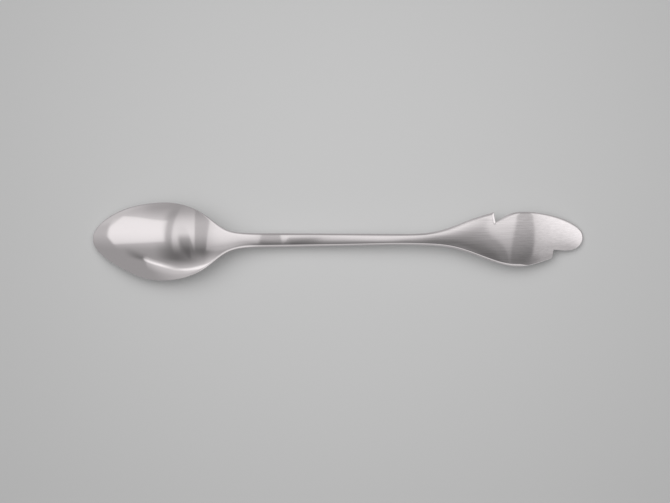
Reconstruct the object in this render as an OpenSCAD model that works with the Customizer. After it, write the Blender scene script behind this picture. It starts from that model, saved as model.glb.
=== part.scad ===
// Demitasse spoon of polished stainless steel, lying face down on a table.
// The bowl's tip points along -X, the leaf at the handle's end along +X, and the spoon's back is up.
// It is forged from one blank. Its four regions meet face to face on cross-sections.

/* [Overall] */
// Length from the bowl's tip to the end of the leaf
spoon_l = 110; // [95:1:125]
// Width of the softened edge along the handle
edge_r = 0.55; // [0.4:0.05:0.6]
// Width of the softened edge round the bowl
rim_r = 0.1; // [0.1:0.05:0.25]

/* [Bowl] */
// Width of the bowl
bowl_w = 17.5; // [15:0.1:19]
// Height of the bowl's back above the table
bowl_h = 7.3; // [6.5:0.1:7.8]
// Thickness of the bowl's wall
bowl_t = 1.15; // [1:0.05:1.4]
// Distance of the bowl's tip from the middle line
tip_set = 0.5; // [0:0.05:0.6]

/* [Stem] */
// Width of the stem at its middle
stem_w = 2.9; // [2.6:0.1:3.6]
// Thickness of the stem at its middle
stem_t = 2.3; // [2:0.1:2.6]

/* [Leaf] */
// Width of the leaf across its widest place
leaf_w = 12.3; // [10.5:0.1:13.5]
// Thickness of the leaf at its middle
leaf_t = 1.6; // [1.4:0.1:1.9]
// Length along the spoon of each notch's wall
notch_run = 0.4; // [0.3:0.1:0.6]

/* [Hidden] */

// All places along the spoon are distances from the bowl's tip on a spoon of this length
plan_l = 110;
stretch = spoon_l / plan_l;
// Where one region ends and the next begins
neck_at = 28.5;
stem_at = 37;
leaf_at = 76;
// Where the leaf's two notches start, on its +Y and its -Y edge
notch_plus = 90;
notch_minus = 103;
// First and last ring, which close the two blunt ends with a small facet
first_at = 0.05;
last_at = plan_l - 0.05;
// Points across the face of a ring
columns = 20;

// Half width of the bowl and the stem
bowl_half = bowl_w / 2;
stem_half = stem_w / 2;
leaf_half = leaf_w / 2;
handle_outline = [
    [0, 0],
    [2.5, 0.46 * bowl_half],
    [7, 0.77 * bowl_half],
    [12, 0.96 * bowl_half],
    [16.4, bowl_half],
    [21.8, 0.885 * bowl_half],
    [25.8, 0.64 * bowl_half],
    [29.8, 0.31 * bowl_half],
    [33, 1.24 * stem_half],
    [38, 1.08 * stem_half],
    [49, stem_half],
    [60, 0.91 * stem_half],
    [69.5, 0.835 * stem_half],
    [75, 0.95 * stem_half]
];

// The leaf's edges, each in two runs that a notch parts
plus_root = [[80.6, 0.44 * leaf_half], [84.6, 0.69 * leaf_half], [notch_plus, 0.96 * leaf_half]];
plus_blade = [
    [notch_plus + notch_run, 0.61 * leaf_half],
    [92.2, 0.78 * leaf_half],
    [93.9, 0.915 * leaf_half],
    [96.4, 0.975 * leaf_half],
    [102.15, 0.87 * leaf_half],
    [107.5, 0.55 * leaf_half],
    [plan_l, 0.06 * leaf_half]
];
minus_root = [
    [80.6, 0.325 * leaf_half],
    [87.3, 0.685 * leaf_half],
    [92.7, 0.965 * leaf_half],
    [96, 1.015 * leaf_half],
    [99.45, 0.91 * leaf_half],
    [notch_minus, 0.72 * leaf_half]
];
minus_blade = [
    [notch_minus + notch_run, 0.41 * leaf_half],
    [106.4, 0.445 * leaf_half],
    [108.4, 0.37 * leaf_half],
    [plan_l, -0.06 * leaf_half]
];
// The middle of the outline across the spoon, from the tip that is set to one side
middle_line = [
    [0, tip_set],
    [3, tip_set],
    [7, 0.66 * tip_set],
    [12, -0.2 * tip_set],
    [20, -0.26 * tip_set],
    [28.6, -0.44 * tip_set],
    [33, -0.1 * tip_set],
    [38, 0],
    [49, 0],
    [leaf_at, 0],
    [plan_l, 0]
];
// The crest of the back across the spoon, which wanders a little as on any hand-finished spoon
crest_line = [
    [0, tip_set],
    [3, 0.8 * tip_set],
    [7, 0.6 * tip_set],
    [12, 0.04],
    [20, -0.23],
    [28.6, -0.07],
    [33, 0.27],
    [38, -0.04],
    [49, 0.1],
    [66, -0.14],
    [75, 0.13],
    [82, 0.43],
    [87, 0.46],
    [91, 0.23],
    [94, 0.17],
    [97, 0.59],
    [100, 0.64],
    [104, 0.64],
    [plan_l, -1.45]
];
// Half width over which the back's crown is measured, which runs on past the leaf's rounded end
crown_half = concat(handle_outline, [
    [80.6, 0.4 * leaf_half],
    [87, 0.75 * leaf_half],
    [96, leaf_half],
    [103, 0.92 * leaf_half],
    [plan_l, 0.85 * leaf_half]
]);

// Height of the back along the middle line, with the bowl's peak, the stem's dip and the leaf's arch
tip_z = 0.8;
dip_z = 3.36;
arch_z = 4.47;
end_z = 0.974;
back_line = [
    [0, tip_z],
    [3, 0.392 * bowl_h],
    [7.5, 0.707 * bowl_h],
    [12, 0.892 * bowl_h],
    [16, 0.973 * bowl_h],
    [20.9, bowl_h],
    [24.5, 0.971 * bowl_h],
    [29.6, 0.815 * bowl_h],
    [34.1, 1.416 * dip_z],
    [37.7, 1.182 * dip_z],
    [43, 1.01 * dip_z],
    [46.9, dip_z],
    [55.5, 1.069 * dip_z],
    [64.4, 0.896 * arch_z],
    [71.4, 0.949 * arch_z],
    [82.5, arch_z],
    [92.5, 0.962 * arch_z],
    [96.8, 0.901 * arch_z],
    [101.5, 0.718 * arch_z],
    [105, 0.5265 * arch_z],
    [plan_l, end_z]
];
// How far the back falls from the middle line to its edge
back_crown = [
    [0, 0],
    [3, 1.165],
    [7.5, 2.495],
    [12, 3.31],
    [14.5, 3.5],
    [16.4, 3.4],
    [20.9, 2.54],
    [24.5, 1.545],
    [27.2, 0.73],
    [29.8, 0.275],
    [33, 0.195],
    [38, 0.225],
    [49, 0.18],
    [69.5, 0.185],
    [75, 0.155],
    [80.6, 0.285],
    [87, 0.375],
    [96, 0.505],
    [plan_l, 0.615]
];
// How deep the front is hollowed in the bowl, and how far it swells on the stem
front_hollow = [
    [0, 0],
    [3, 1.165],
    [7.5, 2.445],
    [12, 3.21],
    [14.5, 3.36],
    [16.4, 3.25],
    [20.9, 2.29],
    [24.5, 1.175],
    [27.2, 0.4],
    [29.8, 0.1],
    [33, -0.05],
    [38, -0.1],
    [55, -0.12],
    [75, -0.08],
    [87, 0],
    [plan_l, 0]
];
// Thickness along the middle line
thickness = [
    [0, 0.74 * bowl_t],
    [14, bowl_t],
    [22, 1.05 * bowl_t],
    [26, 1.4 * bowl_t],
    [29.8, stem_t],
    [34, 1.08 * stem_t],
    [49, stem_t],
    [69.5, 0.88 * stem_t],
    [80.6, 1.12 * leaf_t],
    [90, leaf_t],
    [101, 0.9 * leaf_t],
    [plan_l, 0.68 * leaf_t]
];

// Smooth curves through hand-set points
// The points are spaced by an angle, so that the curve can be round at the spoon's two ends
function turn(d) = acos(1 - 2 * d / plan_l);
function place(a) = plan_l * (1 - cos(a)) / 2;

// One row of the equations for the curve's bend at each point
function bend_row(a, v, i, flat) =
    let (last = len(a) - 1)
    i == 0 ? (flat ? [0, 2, 1, 6 * (v[1] - v[0]) / pow(a[1] - a[0], 2)] : [0, 1, 0, 0]) :
    i == last ? (flat ? [1, 2, 0, -6 * (v[i] - v[i - 1]) / pow(a[i] - a[i - 1], 2)] : [0, 1, 0, 0]) :
    let (before = a[i] - a[i - 1], after = a[i + 1] - a[i])
    let (jump = (v[i + 1] - v[i]) / after - (v[i] - v[i - 1]) / before)
    [before, 2 * (before + after), after, 6 * jump];

function eliminate(rows, i = 0, done = []) =
    i == len(rows) ? done :
    let (r = rows[i])
    let (above = i == 0 ? [0, 0] : done[i - 1])
    let (pivot = r[1] - r[0] * above[0])
    eliminate(rows, i + 1, concat(done, [[r[2] / pivot, (r[3] - r[0] * above[1]) / pivot]]));

function back_solve(rows, i, done = []) =
    i < 0 ? done :
    let (next = len(done) == 0 ? 0 : done[0])
    back_solve(rows, i - 1, concat([rows[i][1] - rows[i][0] * next], done));

// A curve is its points' angles, values and bends. A flat one leaves both ends level.
function curve(points, flat = false) =
    let (a = [for (p = points) turn(p[0])])
    let (v = [for (p = points) p[1]])
    let (rows = [for (i = [0 : len(a) - 1]) bend_row(a, v, i, flat)])
    [a, v, back_solve(eliminate(rows), len(a) - 1)];

function on(c, d) =
    let (s = turn(d))
    let (a = c[0])
    let (i = len([for (j = [1 : len(a) - 2]) if (s > a[j]) 1]))
    let (h = a[i + 1] - a[i])
    let (to_go = a[i + 1] - s)
    let (gone = s - a[i])
    let (cubic = (c[2][i] * pow(to_go, 3) + c[2][i + 1] * pow(gone, 3)) / (6 * h))
    let (left = c[1][i] / h - c[2][i] * h / 6)
    let (right = c[1][i + 1] / h - c[2][i + 1] * h / 6)
    cubic + left * to_go + right * gone;

plus_root_curve = curve(concat(handle_outline, plus_root));
plus_blade_curve = curve(plus_blade);
minus_root_curve = curve(concat(handle_outline, minus_root));
minus_blade_curve = curve(minus_blade);
middle_curve = curve(middle_line, true);
crest_curve = curve(crest_line, true);
half_curve = curve(crown_half);
back_curve = curve(back_line, true);
crown_curve = curve(back_crown, true);
hollow_curve = curve(front_hollow, true);
thickness_curve = curve(thickness, true);

// The two edges, as distances from the spoon's axis to the +Y and to the -Y side
// The run of the edge is the one at "run", so that a slope taken beside a notch stays on its own run
function plus_edge(d, run) =
    on(run <= notch_plus ? plus_root_curve : plus_blade_curve, d) + on(middle_curve, d);
function minus_edge(d, run) =
    on(run <= notch_minus ? minus_root_curve : minus_blade_curve, d) - on(middle_curve, d);

// Fall of an arc with the given sag over a half chord, at a distance y from its middle
function arc_fall(sag, half, y) =
    let (bend = 2 * sag / (half * half + sag * sag))
    let (reach = min(1, abs(bend * y)))
    bend * y * y / (1 + sqrt(1 - reach * reach));

function back_z(d, y) =
    on(back_curve, d) - arc_fall(on(crown_curve, d), on(half_curve, d), y - on(crest_curve, d));
function front_z(d, y) =
    on(back_curve, d) - on(thickness_curve, d)
    - arc_fall(on(hollow_curve, d), on(half_curve, d), y - on(crest_curve, d));

// The softened edge widens from the bowl's rim to the handle over this stretch
soften_from = 20;
soften_to = 31;
// Depth of a softened edge against its width, and the most of the thickness that it takes
edge_ratio = 0.55;
edge_share = 0.4;
function edge_width(d) =
    let (u = min(1, max(0, (d - soften_from) / (soften_to - soften_from))))
    rim_r + (edge_r - rim_r) * u * u * (3 - 2 * u);

// How far the skin drops towards the outline over the softened edge
// It is a quarter of an oval whose power lies between a flat bevel's and an ellipse's
edge_power = 1.5;
slope_step = 0.02;
function inside(d, y, run) = (plus_edge(d, run) - y) * (y + minus_edge(d, run));
function edge_drop(d, y) =
    let (here = inside(d, y, d))
    let (along = (inside(d + slope_step, y, d) - inside(d - slope_step, y, d)) / (2 * slope_step))
    let (across = plus_edge(d, d) - minus_edge(d, d) - 2 * y)
    let (depth = min(1, max(0, here / norm([along, across]) / edge_width(d))))
    edge_ratio * edge_width(d) * (1 - pow(1 - pow(1 - depth, edge_power), 1 / edge_power));

// A point on the back (side 1) or the front (side -1), before the spoon is let down on the table
function skin(d, y, side) =
    let (top = back_z(d, y))
    let (bottom = front_z(d, y))
    let (drop = min(edge_drop(d, y), edge_share * (top - bottom)))
    [d * stretch - spoon_l / 2, y, side > 0 ? top - drop : bottom + drop];

// One ring round the spoon: over the back from the -Y edge to the +Y edge, and back under the front
function across(d, j) =
    let (low = -minus_edge(d, d))
    let (high = plus_edge(d, d))
    (low + high) / 2 - (high - low) / 2 * cos(180 * j / columns);
function ring(d) = concat(
    [for (j = [0 : columns]) skin(d, across(d, j), 1)],
    [for (j = [columns : -1 : 0]) skin(d, across(d, j), -1)]
);
function steps(from, to, count) =
    [for (i = [0 : count]) place(turn(from) + (turn(to) - turn(from)) * i / count)];

bowl_steps = steps(first_at, neck_at, 26);
neck_steps = steps(neck_at, stem_at, 8);
stem_steps = steps(stem_at, leaf_at, 14);
leaf_steps = concat(
    steps(leaf_at, notch_plus, 10),
    steps(notch_plus + notch_run, notch_minus, 10),
    steps(notch_minus + notch_run, last_at, 12)
);
bowl_rings = [for (d = bowl_steps) ring(d)];
neck_rings = [for (d = neck_steps) ring(d)];
stem_rings = [for (d = stem_steps) ring(d)];
leaf_rings = [for (d = leaf_steps) ring(d)];

// The spoon is let down until the bowl's rim or the leaf's end, whichever is lower, is on the table
function lowest(rings) = min([for (r = rings) min([for (p = r) p[2]])]);
table_z = min(lowest(bowl_rings), lowest(leaf_rings));

// A closed solid through a row of rings
module loft(rings) {
    n = len(rings[0]);
    last = len(rings) - 1;
    walls = [
        for (i = [0 : last - 1], j = [0 : n - 1])
        let (k = (j + 1) % n)
        each [
            [i * n + j, i * n + k, (i + 1) * n + k],
            [i * n + j, (i + 1) * n + k, (i + 1) * n + j]
        ]
    ];
    start = [for (j = [n - 1 : -1 : 0]) j];
    end = [for (j = [0 : n - 1]) last * n + j];
    translate([0, 0, -table_z])
    polyhedron([for (r = rings) each r], concat(walls, [start, end]));
}

module bowl() {
    color("gainsboro") loft(bowl_rings);
}

module neck() {
    color("lightgray") loft(neck_rings);
}

module stem() {
    color("silver") loft(stem_rings);
}

module leaf() {
    color("gainsboro") loft(leaf_rings);
}

bowl();
neck();
stem();
leaf();
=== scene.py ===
import bpy
import bmesh
import math
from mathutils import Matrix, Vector
from mathutils.geometry import intersect_point_line


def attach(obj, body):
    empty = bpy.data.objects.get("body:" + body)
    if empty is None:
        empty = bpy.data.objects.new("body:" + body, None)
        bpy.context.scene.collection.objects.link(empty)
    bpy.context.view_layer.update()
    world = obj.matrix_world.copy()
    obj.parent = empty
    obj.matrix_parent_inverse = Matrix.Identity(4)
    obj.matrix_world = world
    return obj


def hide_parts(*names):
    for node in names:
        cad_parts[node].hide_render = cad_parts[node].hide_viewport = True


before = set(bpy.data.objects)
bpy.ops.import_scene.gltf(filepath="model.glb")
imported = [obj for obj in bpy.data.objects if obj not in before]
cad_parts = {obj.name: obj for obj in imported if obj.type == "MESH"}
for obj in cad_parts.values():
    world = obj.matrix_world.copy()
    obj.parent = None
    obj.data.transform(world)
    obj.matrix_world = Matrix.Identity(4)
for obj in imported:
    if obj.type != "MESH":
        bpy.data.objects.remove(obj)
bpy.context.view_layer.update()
print("frame loaded:", sorted(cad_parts))

mm = 0.001

# The spoon lies face down: tip of the bowl at -X, leaf at +X, back up. Places are mm from the tip.
spoon = {
    "length": 110,
    "edge": 0.55, "rim": 0.1,              # width of the softened edge along the handle and round the bowl
    "softenFrom": 20, "softenTo": 31,       # where one goes over into the other
    "edgeRatio": 0.55, "edgeShare": 0.4,    # its depth against its width, and the most of the thickness it takes
    "edgePower": 1.5,                       # between a flat bevel and an ellipse
    "columns": 64,      # points across the back of a ring
    "turnStep": 0.4,    # rings, in degrees of the half turn from tip to end
    "seamStrip": 0.01,  # a thin first and last strip keeps the shading level where two pieces meet
    "slopeStep": 0.01, "tiny": 1e-9,
}

# Each list gives places along the spoon with a value there, in mm: half the width, the middle it is taken from,
# the side shift and height of the back's highest line (crest, back), how far the back and the front fall from it
# to the edge (crown, hollow), and the thickness between them (wall).
bowl = {
    "name": "bowlForging", "node": "bowl", "start": 0.05, "end": 28.5,
    "half": [(0, 0), (2.5, 4.025), (7, 6.7375), (12, 8.4), (16.4, 8.75), (21.8, 7.7438), (25.8, 5.6)],
    "middle": [(0, 0.5), (3, 0.5), (7, 0.33), (12, -0.1), (20, -0.13)],     # the tip sits a little to one side
    "crest": [(0, 0.5), (3, 0.4), (7, 0.3), (12, 0.04), (20, -0.23)],
    "back": [(0, 0.8), (3, 2.8616), (7.5, 5.1611), (12, 6.5116), (16, 7.1029), (20.9, 7.3), (24.5, 7.0883)],
    "crown": [(0, 0), (3, 1.165), (7.5, 2.495), (12, 3.31), (14.5, 3.5), (16.4, 3.4), (20.9, 2.54),
              (24.5, 1.545), (27.2, 0.73)],
    "hollow": [(0, 0), (3, 1.165), (7.5, 2.445), (12, 3.21), (14.5, 3.36), (16.4, 3.25), (20.9, 2.29),
               (24.5, 1.175), (27.2, 0.4)],
    "wall": [(0, 0.851), (14, 1.15), (22, 1.2075), (26, 1.61)],
}
neck = {
    "name": "neckForging", "node": "neck", "start": 28.5, "end": 37,
    "half": [(29.8, 2.7125), (33, 1.798)],
    "middle": [(28.6, -0.22), (33, -0.05)],
    "crest": [(28.6, -0.07), (33, 0.27)],
    "back": [(29.6, 5.9495), (34.1, 4.7578)],
    "crown": [(29.8, 0.275), (33, 0.195)],
    "hollow": [(29.8, 0.1), (33, -0.05)],
    "wall": [(29.8, 2.3), (34, 2.484)],
}
stem = {
    "name": "stemForging", "node": "stem", "start": 37, "end": 76,
    "half": [(38, 1.566), (49, 1.45), (60, 1.3195), (69.5, 1.2108), (75, 1.3775)],
    "middle": [(38, 0), (49, 0)],
    "crest": [(38, -0.04), (49, 0.1), (66, -0.14), (75, 0.13)],
    "back": [(37.7, 3.9715), (43, 3.3936), (46.9, 3.36), (55.5, 3.5918), (64.4, 4.0051), (71.4, 4.242)],
    "crown": [(38, 0.225), (49, 0.18), (69.5, 0.185), (75, 0.155)],
    "hollow": [(38, -0.1), (55, -0.12), (75, -0.08)],
    "wall": [(49, 2.3), (69.5, 2.024)],
}
leaf = {
    "name": "leafForging", "node": "leaf", "start": 76, "end": 109.95,
    "half": [(80.6, 2.46), (87, 4.6125), (96, 6.15), (103, 5.658), (110, 5.2275)],
    "middle": [(76, 0), (110, 0)],
    "crest": [(82, 0.43), (87, 0.46), (91, 0.23), (94, 0.17), (97, 0.59), (100, 0.64), (104, 0.64),
              (110, -1.45)],
    "back": [(82.5, 4.47), (92.5, 4.3001), (96.8, 4.0275), (101.5, 3.2095), (105, 2.3535), (110, 0.974)],
    "crown": [(80.6, 0.285), (87, 0.375), (96, 0.505), (110, 0.615)],
    "hollow": [(87, 0), (110, 0)],
    "wall": [(80.6, 1.792), (90, 1.6), (101, 1.44), (110, 1.088)],
    "plusRoot": [(80.6, 2.706), (84.6, 4.2435), (90, 5.904)],
    "plusBlade": [(90.4, 3.7515), (92.2, 4.797), (93.9, 5.627), (96.4, 5.996), (102.15, 5.3505),
                  (107.5, 3.3825), (110, 0.369)],
    "minusRoot": [(80.6, 1.999), (87.3, 4.213), (92.7, 5.935), (96, 6.242), (99.45, 5.5965), (103, 4.428)],
    "minusBlade": [(103.4, 2.5215), (106.4, 2.7368), (108.4, 2.2755), (110, -0.369)],
    "corner": 0.3,      # rounding of a notch's two corners
    "crisp": 0.03, "crispFrom": 95.5, "crispTo": 98, "crispSide": (1, -2),  # sharper back edge, past here at -Y
    "notchReach": 1.0, "notchStep": 0.05,   # closer rings about a notch
}
pieces = [bowl, neck, stem, leaf]


def turnOf(d):
    return math.degrees(math.acos(max(-1, min(1, 1 - 2 * d / spoon["length"]))))


def placeOf(turn):
    return spoon["length"] * (1 - math.cos(math.radians(turn))) / 2


# Cubic spline over the turn, which is round at the tip and the end; flat starts and ends level there
def makeCurve(knots, flat=False):
    at = [turnOf(k[0]) for k in knots]
    value = [k[1] for k in knots]
    last = len(knots) - 1
    swept = []
    for i in range(last + 1):
        before = at[i] - at[i - 1] if i else 0
        after = at[i + 1] - at[i] if i < last else 0
        rise = (value[i + 1] - value[i]) / after if i < last else 0
        came = (value[i] - value[i - 1]) / before if i else 0
        if 0 < i < last or flat:
            row = (before, 2 * (before + after), after, 6 * (rise - came))
        else:
            row = (0, 1, 0, 0)
        prior = swept[-1] if i else (0, 0)
        pivot = row[1] - row[0] * prior[0]
        swept.append((row[2] / pivot, (row[3] - row[0] * prior[1]) / pivot))
    bend = [0] * (last + 1)
    bend[last] = swept[last][1]
    for i in range(last - 1, -1, -1):
        bend[i] = swept[i][1] - swept[i][0] * bend[i + 1]

    def curve(d):
        turn = turnOf(d)
        i = 0
        while i < last - 1 and turn > at[i + 1]:
            i += 1
        span = at[i + 1] - at[i]
        left, gone = at[i + 1] - turn, turn - at[i]
        return ((bend[i] * left ** 3 + bend[i + 1] * gone ** 3) / (6 * span)
                + (value[i] / span - bend[i] * span / 6) * left
                + (value[i + 1] / span - bend[i + 1] * span / 6) * gone)
    return curve


def joinKnots(key, some=pieces):
    return [knot for piece in some for knot in piece[key]]


handle = joinKnots("half", [bowl, neck, stem])
halfCurve = makeCurve(joinKnots("half"))
middleCurve = makeCurve(joinKnots("middle"), flat=True)
crestCurve = makeCurve(joinKnots("crest"), flat=True)
backCurve = makeCurve(joinKnots("back"), flat=True)
crownCurve = makeCurve(joinKnots("crown"), flat=True)
hollowCurve = makeCurve(joinKnots("hollow"), flat=True)
wallCurve = makeCurve(joinKnots("wall"), flat=True)


def slopeOf(curve, d):
    step = spoon["slopeStep"]
    return (curve(d + step) - curve(d - step)) / (2 * step)


def softMin(a, b, soft):
    near = max(0, soft - abs(a - b)) / soft
    return min(a, b) - near * near * soft / 4


def makeEdge(root, blade):
    rootCurve, bladeCurve = makeCurve(handle + leaf[root]), makeCurve(leaf[blade])
    lip, foot = leaf[root][-1], leaf[blade][0]
    fall = (foot[1] - lip[1]) / (foot[0] - lip[0])

    # root edge, notch wall and blade edge run into each other with small rounds
    def edge(d):
        if d < lip[0] - leaf["notchReach"]:
            return rootCurve(d)
        if d > foot[0] + leaf["notchReach"]:
            return bladeCurve(d)
        wall = lip[1] + fall * (d - lip[0])
        return -softMin(-softMin(rootCurve(d), wall, leaf["corner"]), -bladeCurve(d), leaf["corner"])

    # slope of the run itself, as if its notch had no wall
    def slope(d):
        run = rootCurve if d < (lip[0] + foot[0]) / 2 else bladeCurve
        return slopeOf(run, d)
    return edge, slope, (Vector((*lip, 0)), Vector((*foot, 0)))


plusCurve, plusSlope, plusWall = makeEdge("plusRoot", "plusBlade")
minusCurve, minusSlope, minusWall = makeEdge("minusRoot", "minusBlade")


def ease(value, first, last):
    u = max(0, min(1, (value - first) / (last - first)))
    return u * u * (3 - 2 * u)


def edgeWidth(d):
    return spoon["rim"] + (spoon["edge"] - spoon["rim"]) * ease(d, spoon["softenFrom"], spoon["softenTo"])


def crispOf(d, y):
    share = ease(d, leaf["crispFrom"], leaf["crispTo"]) * ease(y, *leaf["crispSide"])
    return edgeWidth(d) + (leaf["crisp"] - edgeWidth(d)) * share


def edgeDrop(depth, width):
    inset, power = 1 - min(1, depth / width), spoon["edgePower"]
    return spoon["edgeRatio"] * width * (1 - (1 - inset ** power) ** (1 / power))


def arcFall(sag, half, y):
    bend = 2 * sag / (half * half + sag * sag)
    return bend * y * y / (1 + math.sqrt(max(0, 1 - (bend * y) ** 2)))


def wallGap(point, wall):
    part = intersect_point_line(point, *wall)[1]
    return (point - wall[0].lerp(wall[1], max(0, min(1, part)))).length


# One closed section: over the back from +Y to -Y, then under the front and home again
def ringAt(d):
    middle, drift = middleCurve(d), slopeOf(middleCurve, d)
    plus, minus = plusCurve(d) + middle, minusCurve(d) - middle
    plusLean, minusLean = plusSlope(d) + drift, minusSlope(d) - drift
    back, thick = backCurve(d), wallCurve(d)
    half, crown, hollow, crest = halfCurve(d), crownCurve(d), hollowCurve(d), crestCurve(d)
    over, under = [], []
    for k in range(spoon["columns"] + 1):
        y = (plus - minus) / 2 + (plus + minus) / 2 * math.cos(math.pi * k / spoon["columns"])
        toPlus, toMinus = max(0, plus - y), max(0, y + minus)
        lean = math.hypot(plusLean * toMinus + minusLean * toPlus, toPlus - toMinus)
        depth = toPlus * toMinus / max(lean, spoon["tiny"])
        for wall, side in ((plusWall, y), (minusWall, -y)):
            if abs(d - wall[0].x) < leaf["notchReach"]:
                depth = min(depth, wallGap(Vector((d, side, 0)), wall))
        if k in (0, spoon["columns"]):
            depth = 0
        top = back - arcFall(crown, half, y - crest)
        low = back - thick - arcFall(hollow, half, y - crest)
        most = spoon["edgeShare"] * (top - low)
        over.append((d - spoon["length"] / 2, y, top - min(edgeDrop(depth, crispOf(d, y)), most)))
        under.append((d - spoon["length"] / 2, y, low + min(edgeDrop(depth, edgeWidth(d)), most)))
    return over + under[::-1]


def stationsOf(piece):
    first, last = turnOf(piece["start"]), turnOf(piece["end"])
    count = math.ceil((last - first) / spoon["turnStep"])
    places = [placeOf(first + (last - first) * i / count) for i in range(1, count)]
    for wall in (plusWall, minusWall) if piece is leaf else ():
        low, high = wall[0].x - leaf["notchReach"], wall[1].x + leaf["notchReach"]
        count = round((high - low) / leaf["notchStep"])
        places = [d for d in places if not low <= d <= high]
        places += [low + (high - low) * i / count for i in range(count + 1)]
    seam = spoon["seamStrip"]
    return [piece["start"], piece["start"] + seam, *sorted(places), piece["end"] - seam, piece["end"]]


for piece in pieces:
    piece["rings"] = [ringAt(d) for d in stationsOf(piece)]
tableZ = min(point[2] for piece in pieces for ring in piece["rings"] for point in ring)
print("sections drawn:", {piece["node"]: len(piece["rings"]) for piece in pieces}, "lowest", round(tableZ, 4))


def forgePiece(piece):
    bm = bmesh.new()
    rings = [[Vector((x, y, z - tableZ)) * mm for x, y, z in ring] for ring in piece["rings"]]
    loop = bmesh.ops.create_circle(bm, segments=len(rings[0]), radius=mm)["verts"]
    edges = list(bm.edges)
    ends = [edges]
    for vert, place in zip(loop, rings[0]):
        vert.co = place
    for ring in rings[1:]:
        drawn = bmesh.ops.extrude_edge_only(bm, edges=edges)["geom"]
        fresh = {g for g in drawn if isinstance(g, bmesh.types.BMVert)}
        edges = [g for g in drawn if isinstance(g, bmesh.types.BMEdge) and fresh.issuperset(g.verts)]
        loop = [next(e.other_vert(v) for e in v.link_edges if e.other_vert(v) in fresh) for v in loop]
        for vert, place in zip(loop, ring):
            vert.co = place
    ends.append(edges)
    for face in bm.faces:
        face.smooth = True
    for place, rim in zip(("start", "end"), ends):
        cap = bmesh.ops.edgeloop_fill(bm, edges=rim)["faces"]
        outer = piece[place] in (bowl["start"], leaf["end"])
        for edge in rim:
            edge.smooth = outer     # only the joint planes inside the spoon are crisp
        for face in cap:
            face.smooth = outer
        bmesh.ops.triangulate(bm, faces=cap)
    bmesh.ops.recalc_face_normals(bm, faces=bm.faces)
    mesh = bpy.data.meshes.new(piece["name"])
    bm.to_mesh(mesh)
    bm.free()
    made = bpy.data.objects.new(piece["name"], mesh)
    bpy.context.collection.objects.link(made)
    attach(made, "root")
    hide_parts(piece["node"])
    print("forged:", piece["name"], len(mesh.polygons), "faces")
    return made


forged = [forgePiece(piece) for piece in pieces]


def toLinear(hexColour):
    parts = [int(hexColour[i:i + 2], 16) / 255 for i in (1, 3, 5)]
    return (*((c / 12.92 if c <= 0.04045 else ((c + 0.055) / 1.055) ** 2.4) for c in parts), 1)


def addNode(tree, kind, links=None, **settings):
    node = tree.nodes.new(kind)
    for key, value in settings.items():
        setattr(node, key, value)
    for socket, value in (links or {}).items():
        if isinstance(value, bpy.types.NodeSocket):
            tree.links.new(value, node.inputs[socket])
        else:
            node.inputs[socket].default_value = value
    return node


def newTree(name):
    material = bpy.data.materials.new(name)
    material.use_nodes = True
    material.node_tree.nodes.clear()
    return material, material.node_tree


# Polished 18/8 stainless steel: forged, ground, then buffed along the length on a soft wheel.
# The eye gets near mirror reflections, a little smeared, with faint buffing lines along the handle.
polish = {
    "colour": "#d0cbcc", "lineColour": "#dad5d6",
    "roughness": (0.05, 0.08),
    "lineWidth": 0.25,      # mm; real buffing lines are about 0.03 mm, drawn coarser so that they show
    "lineLength": 9,        # mm
    "lineDepth": 0.00012,   # mm
    "lineDetail": 3, "lineGrit": 0.6,       # finer lines among the broad ones, and how strong
    "lineSpread": (0.35, 0.65),     # part of the noise that goes from no line to a full one
    "linesFrom": -31, "linesTo": 36,        # mm along X, from hardly seen on the bowl to plain on the leaf
    "linesLeast": 0.1,
    "waveWidth": 6,         # mm, slow unevenness that hand buffing leaves
    "waveDepth": 0.004,     # mm
    "waveDetail": 1,
}


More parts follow.
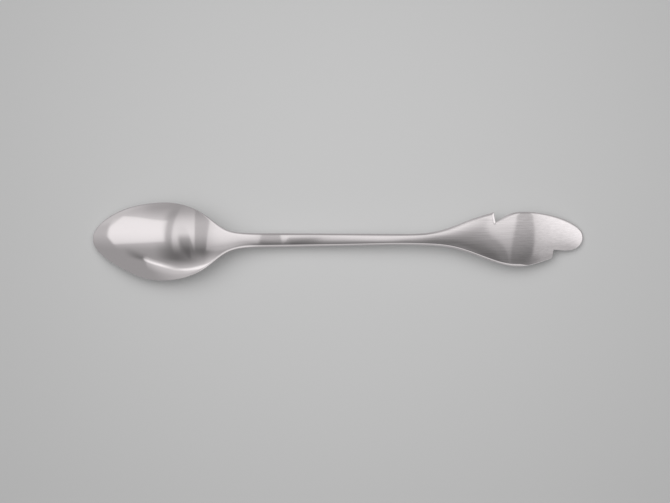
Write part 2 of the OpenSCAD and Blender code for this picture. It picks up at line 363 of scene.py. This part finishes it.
def makePolish():
    material, tree = newTree("buffed 18/8 stainless steel")
    place = addNode(tree, "ShaderNodeTexCoord").outputs["Object"]
    coarse, close = 1 / (polish["lineLength"] * mm), 1 / (polish["lineWidth"] * mm)
    stretched = addNode(tree, "ShaderNodeMapping", {"Vector": place, "Scale": (coarse, close, close)})
    lines = addNode(tree, "ShaderNodeTexNoise", {
        "Vector": stretched.outputs["Vector"], "Scale": 1,
        "Detail": polish["lineDetail"], "Roughness": polish["lineGrit"]}).outputs["Fac"]
    slow = addNode(tree, "ShaderNodeTexNoise", {
        "Vector": place, "Scale": 1 / (polish["waveWidth"] * mm),
        "Detail": polish["waveDetail"]}).outputs["Fac"]
    streak = addNode(tree, "ShaderNodeMapRange", {
        "Value": lines, "From Min": polish["lineSpread"][0],
        "From Max": polish["lineSpread"][1]}).outputs["Result"]
    rough = addNode(tree, "ShaderNodeMapRange", {
        "Value": streak, "To Min": polish["roughness"][0],
        "To Max": polish["roughness"][1]}).outputs["Result"]
    along = addNode(tree, "ShaderNodeSeparateXYZ", {"Vector": place}).outputs["X"]
    shown = addNode(tree, "ShaderNodeMapRange", {
        "Value": along, "From Min": polish["linesFrom"] * mm, "From Max": polish["linesTo"] * mm,
        "To Min": polish["linesLeast"]}).outputs["Result"]
    seen = addNode(tree, "ShaderNodeMath", {0: streak, 1: shown}, operation="MULTIPLY").outputs["Value"]
    tone = addNode(tree, "ShaderNodeMix", {
        "Factor": seen, "A": toLinear(polish["colour"]), "B": toLinear(polish["lineColour"])},
        data_type="RGBA").outputs["Result"]
    wave = addNode(tree, "ShaderNodeBump", {
        "Height": slow, "Strength": 1, "Distance": polish["waveDepth"] * mm}).outputs["Normal"]
    fine = addNode(tree, "ShaderNodeBump", {
        "Height": lines, "Strength": 1, "Distance": polish["lineDepth"] * mm,
        "Normal": wave}).outputs["Normal"]
    steel = addNode(tree, "ShaderNodeBsdfPrincipled", {
        "Base Color": tone, "Metallic": 1, "Roughness": rough, "Normal": fine})
    addNode(tree, "ShaderNodeOutputMaterial", {"Surface": steel.outputs["BSDF"]})
    return material


steelFinish = makePolish()
for made in forged:
    made.data.materials.append(steelFinish)
print("steel finished")

# Matt pale card, pressed smooth but uncoated: the eye gets no shine, and soft shadows. Its colour is painted
# shade, lighter round one spot and darker towards its edges, as the light falls off.
# Its shadows are lifted by a painted glow, as a light table under it would lift them; that glow shows to the eye
# and in the steel only, and lights nothing.
floor = {
    # painted shade: the colour runs from the centre tone to the darker edge tone away from one spot
    "colour": "#d3d3d3", "shadedEdgeColour": "#b7b7b7",
    "size": 6, "lightPoolCentre": (0, 0.022, 0), "lightPoolReach": 0.16,      # m
    "roughness": 0.9, "specular": 0.1,
    "glow": 0.85, "glowShare": 0.2,
}


def layFloor():
    bm = bmesh.new()
    bmesh.ops.create_grid(bm, x_segments=1, y_segments=1, size=floor["size"] / 2)
    mesh = bpy.data.meshes.new("floorCard")
    bm.to_mesh(mesh)
    bm.free()
    made = bpy.data.objects.new("floorCard", mesh)
    bpy.context.collection.objects.link(made)
    material, tree = newTree("matt pale card")
    place = addNode(tree, "ShaderNodeTexCoord").outputs["Object"]
    # painted shade: the card darkens with distance from one spot, as the light falls off
    far = addNode(tree, "ShaderNodeVectorMath", {0: place, 1: floor["lightPoolCentre"]}, operation="DISTANCE")
    fade = addNode(tree, "ShaderNodeMapRange", {"Value": far.outputs["Value"], "From Max": floor["lightPoolReach"]},
                   interpolation_type="SMOOTHSTEP")
    tone = addNode(tree, "ShaderNodeMix", {
        "Factor": fade.outputs["Result"], "A": toLinear(floor["colour"]), "B": toLinear(floor["shadedEdgeColour"])},
        data_type="RGBA").outputs["Result"]
    card = addNode(tree, "ShaderNodeBsdfPrincipled", {
        "Base Color": tone, "Roughness": floor["roughness"], "Specular IOR Level": floor["specular"]})
    # painted glow: a share of the card's own tone shines, only to the eye and in the steel, to lift its shadows
    glow = addNode(tree, "ShaderNodeEmission", {"Color": tone, "Strength": floor["glow"]})
    path = addNode(tree, "ShaderNodeLightPath").outputs
    seen = addNode(tree, "ShaderNodeMath", {0: path["Is Camera Ray"], 1: path["Is Glossy Ray"]},
                   operation="MAXIMUM").outputs["Value"]
    share = addNode(tree, "ShaderNodeMath", {0: seen, 1: floor["glowShare"]}, operation="MULTIPLY")
    lit = addNode(tree, "ShaderNodeMixShader", {
        0: share.outputs["Value"], 1: card.outputs["BSDF"], 2: glow.outputs["Emission"]})
    addNode(tree, "ShaderNodeOutputMaterial", {"Surface": lit.outputs["Shader"]})
    mesh.materials.append(material)


layFloor()
print("floor laid")

# The studio, as steel mirrors it straight up. A place is the tilt of the steel that shows it, in degrees, across
# and up the picture. An edge fades in from its first number to its second; a slope lets it run aslant.
studio = {
    "colour": "#ffffff", "backdrop": "#c4c4c4",
    "leastLift": 0.05,      # keeps the tilt finite straight down
    "shade": 0.08, "ceiling": 0.73, "ceilingFrom": (-15.1, 10),
    "horizonFrom": 0.1, "horizonTo": -0.15,     # height, on a ball of radius 1, where the room's walls come in
    "horizonLow": 0.48, "horizonHigh": 0.80, "horizonSide": (0.2, 0.8), "horizonSlope": 0.8,
    "cardSide": (-0.4, 0.2), "cardSlope": 0.6, "cardLeast": 0.48, "cardMost": 2.63,     # light on the card
    "cardRise": (0.35, 1.0),
    "boxes": {
        "keyBox": {"left": (-31.9, -30.9), "cut": (-31.1, -29.9), "cutSlope": -0.34,
            "right": (-4.8, -5.8), "rightSlope": 0.03, "low": (-0.5, 2.5), "lowSlope": 0.23,
            "high": (20.4, 17.7), "highSlope": -0.47, "corner": (58.3, 55.8), "cornerSlope": 2.01,
            "level": 0.28},
        "keyGlow": {"left": (-32.6, -30.2), "cut": (-31.8, -29.2), "cutSlope": -0.34,
            "right": (-4.2, -6.4), "low": (-8.4, 6.7), "lowSlope": 0.19, "high": (38.5, 23.5),
            "highSlope": 0.28, "level": 0.29},
        "leftWall": {"right": (-16.5, -26.4), "low": (17.5, 27.1), "level": 0.1},
        "topWall": {"left": (-19, -3.2), "low": (15, 29.5), "level": -0.23},
        "middleLeft": {"left": (-3.65, -2.85), "leftSlope": 0.015, "right": (-1.1, -1.9),
            "low": (-14.1, 5.2), "high": (38.5, 8.6), "level": 0.38},
        "middleTop": {"left": (-1.9, -1.1), "right": (1.95, 1.6), "rightSlope": -0.12, "low": (2.2, 9.2),
            "high": (39.5, 13.6), "level": 0.33},
        "darkCamera": {"left": (-2.1, -0.9), "leftSlope": -0.1, "right": (1.4, 0.6), "rightSlope": -0.02,
            "low": (-18.1, -13.1), "high": (5.4, -0.5), "level": -0.07},
        "middleRight": {"left": (1.6, 1.95), "leftSlope": -0.12, "cut": (-1.9, -1.1), "right": (3.65, 2.95),
            "low": (-12.5, 10), "high": (39.3, 2.7), "level": 0.45},
        "sideBox": {"left": (9.8, 10.9), "leftSlope": 0.03, "low": (-9.5, -5.5), "high": (42, 20),
            "level": 0.27},
        "sideGlow": {"left": (8.4, 17.9), "low": (-10.5, 0.9), "high": (42, 20), "level": 0.39},
        "lowLeft": {"right": (-2.2, -10.6), "high": (8.6, -14.5), "level": 0.4},
        "lowRight": {"left": (7.7, 15.7), "high": (-4.9, -9), "level": 0.38},
        "darkEdge": {"left": (-25.4, -16.6), "right": (-12.6, -13.8), "low": (-26.5, -21.3),
            "lowSlope": -0.21, "high": (-20.3, -28.8), "highSlope": -0.65, "level": -0.2},
        "stripLeft": {"left": (-15.1, -13.6), "right": (1.7, -12.2), "low": (-43.3, -30),
            "lowSlope": -1.15, "high": (-26, -29.6), "highSlope": -0.9, "level": 0.37},
        "stripRight": {"left": (-10.8, 13.8), "low": (-30.7, -27.9), "lowSlope": 0.76,
            "high": (-4.1, -16.4), "highSlope": -0.31, "level": 0.55},
        "lowWall": {"left": (-13.4, -0.4), "high": (-15.4, -27.4), "level": 0.63},
        "coreLeft": {"left": (-15.7, -14.4), "right": (-3.7, -9), "low": (-33, -31.6), "lowSlope": -0.9,
            "high": (-28.9, -30.2), "highSlope": -0.86, "level": 0.55},
        "coreRight": {"left": (-6.8, -1.5), "low": (-27.6, -26.4), "lowSlope": 0.41,
            "high": (-24, -25.3), "highSlope": 0.49, "level": 0.5},
    },
}


def lightStudio():
    world = bpy.data.worlds.new("softStudio")
    bpy.context.scene.world = world
    world.use_nodes = True
    tree = world.node_tree
    tree.nodes.clear()
    ray = addNode(tree, "ShaderNodeTexCoord").outputs["Generated"]
    axes = addNode(tree, "ShaderNodeSeparateXYZ", {"Vector": ray}).outputs

    def work(operation, *values):
        return addNode(tree, "ShaderNodeMath", dict(enumerate(values)), operation=operation).outputs["Value"]

    def fadeIn(value, first, last, least=0.0, most=1.0):
        return addNode(tree, "ShaderNodeMapRange", {
            "Value": value, "From Min": first, "From Max": last, "To Min": least, "To Max": most},
            interpolation_type="SMOOTHSTEP").outputs["Result"]

    def tiltOf(degrees):
        return math.tan(math.radians(degrees))

    lift = work("MAXIMUM", work("ADD", axes["Z"], 1.0), studio["leastLift"])
    across, up = work("DIVIDE", axes["X"], lift), work("DIVIDE", axes["Y"], lift)
    light = fadeIn(up, *map(tiltOf, studio["ceilingFrom"]), studio["shade"], studio["ceiling"])
    sides = (("left", across, up), ("cut", across, up), ("right", across, up),
             ("low", up, across), ("high", up, across), ("corner", up, across))
    for box in studio["boxes"].values():
        full = box["level"]
        for side, place, other in sides:
            if side in box:
                slope = box.get(side + "Slope", 0)
                aslant = work("MULTIPLY_ADD", other, -slope, place) if slope else place
                full = work("MULTIPLY", fadeIn(aslant, *map(tiltOf, box[side])), full)
        light = work("ADD", light, full)
    # near the horizon everything runs out into the room's walls
    aslant = work("MULTIPLY_ADD", across, -studio["horizonSlope"], up)
    walls = fadeIn(aslant, *studio["horizonSide"], studio["horizonLow"], studio["horizonHigh"])
    near = fadeIn(axes["Z"], studio["horizonFrom"], studio["horizonTo"])
    light = addNode(tree, "ShaderNodeMix", {"Factor": near, "A": light, "B": walls}).outputs["Result"]
    # what isn't mirrored is lit softly from the top of the picture, so the shadow falls below the spoon
    path = addNode(tree, "ShaderNodeLightPath").outputs
    aslant = work("MULTIPLY_ADD", across, -studio["cardSlope"], up)
    side = fadeIn(aslant, *studio["cardSide"], studio["cardLeast"], studio["cardMost"])
    soft = work("MULTIPLY", light, work("MULTIPLY", side, fadeIn(axes["Z"], *studio["cardRise"])))
    light = addNode(tree, "ShaderNodeMix", {
        "Factor": path["Is Glossy Ray"], "A": soft, "B": light}).outputs["Result"]
    studioLight = addNode(tree, "ShaderNodeBackground", {"Color": toLinear(studio["colour"]), "Strength": light})
    backdrop = addNode(tree, "ShaderNodeBackground", {"Color": toLinear(studio["backdrop"]), "Strength": 1})
    shown = addNode(tree, "ShaderNodeMixShader", {
        0: path["Is Camera Ray"], 1: studioLight.outputs["Background"], 2: backdrop.outputs["Background"]})
    addNode(tree, "ShaderNodeOutputWorld", {"Surface": shown.outputs["Shader"]})


lightStudio()
bpy.context.scene.view_settings.view_transform = "Standard"
print("studio lit")

# Looking straight down through a long lens; the spoon lies a third of a degree off level in the picture
view = {
    "lens": 1200, "sensor": 36, "clip": (0.01, 50),
    "frameWidth": 0.15041, "aim": (-0.00067, -0.00264, 0.001), "roll": -0.37,
}


def placeCamera():
    data = bpy.data.cameras.new("overheadCamera")
    data.lens, data.sensor_width = view["lens"], view["sensor"]
    camera = bpy.data.objects.new("overheadCamera", data)
    bpy.context.collection.objects.link(camera)
    rise = view["frameWidth"] * view["lens"] / view["sensor"]
    camera.location = Vector(view["aim"]) + Vector((0, 0, rise))
    camera.rotation_euler = (0, 0, math.radians(view["roll"]))
    data.clip_start, data.clip_end = view["clip"]
    bpy.context.scene.camera = camera


placeCamera()
print("camera placed")
